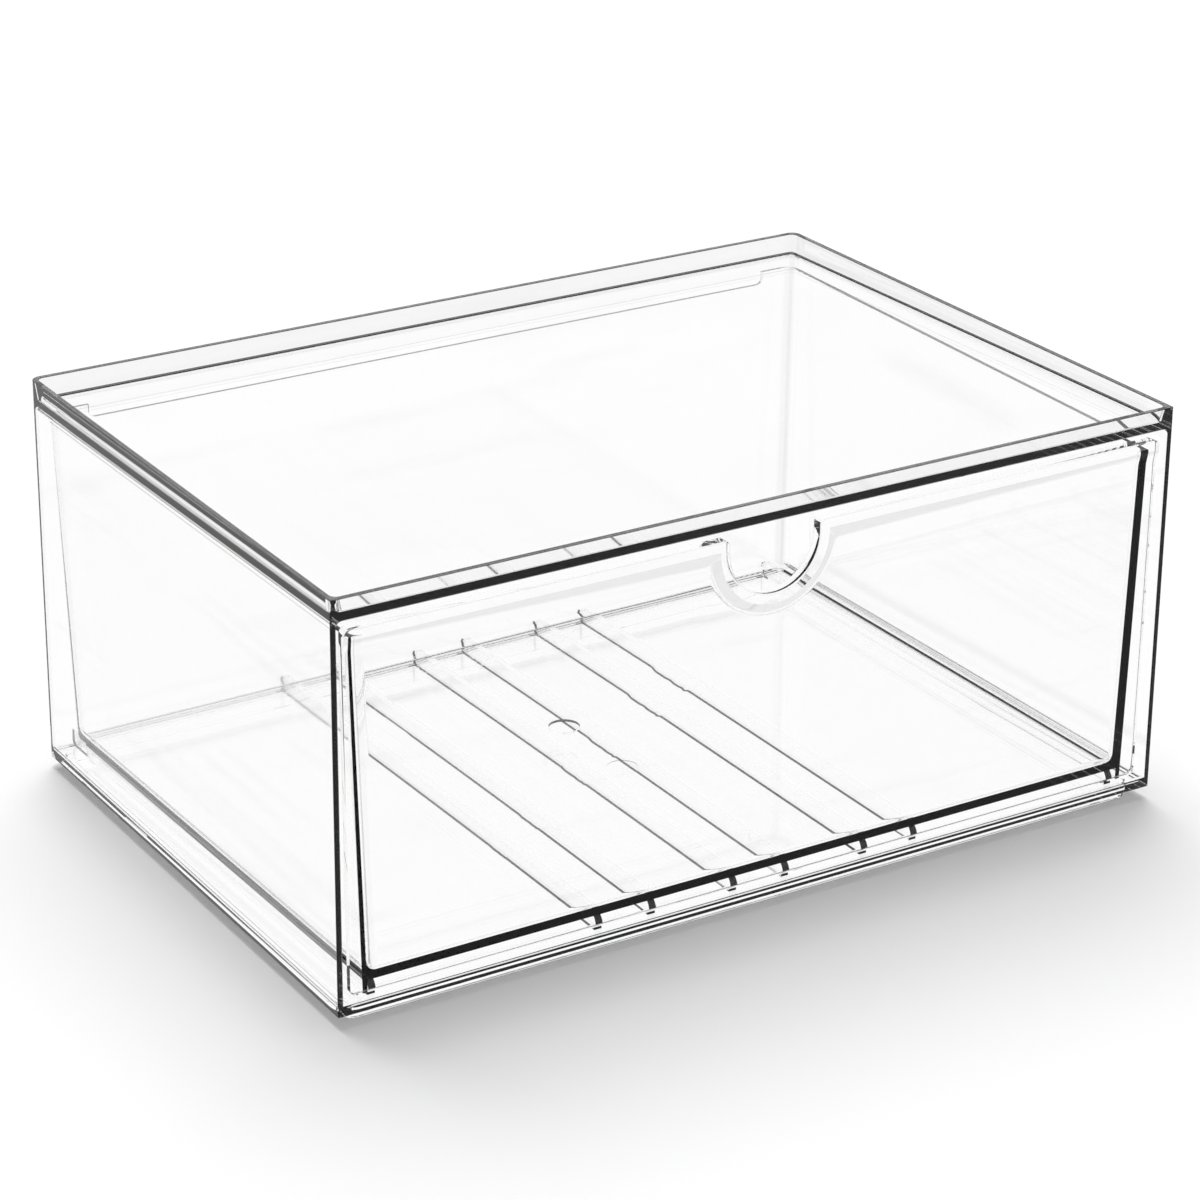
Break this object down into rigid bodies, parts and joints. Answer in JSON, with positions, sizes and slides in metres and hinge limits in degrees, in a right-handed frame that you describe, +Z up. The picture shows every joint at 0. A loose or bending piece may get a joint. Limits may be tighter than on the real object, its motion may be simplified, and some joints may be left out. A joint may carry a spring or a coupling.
{
  "type": "stackable drawer organizer",
  "caption": "Clear moulded case with an open front, a raised stacking rim and a stacking lip, holding a pull-out drawer with a half-round finger notch.",
  "frame": {"origin": "middle of the footprint, on the surface that the stacking lip stands on", "axes": "+X to the right along the width, +Y from the open front to the back, +Z up"},
  "size_m": [0.27, 0.186, 0.1225],
  "materials": {
    "case_plastic": "clear, polished",
    "drawer_plastic": "clear, polished"
  },
  "bodies": {
    "case": {"case": "case_plastic"},
    "drawer": {"drawer": "drawer_plastic"}
  },
  "joints": [
    {"name": "drawer_slide", "type": "slide", "parent": "case", "child": "drawer", "axis": [0, -1, 0], "range_m": [0, 0.15]}
  ]
}
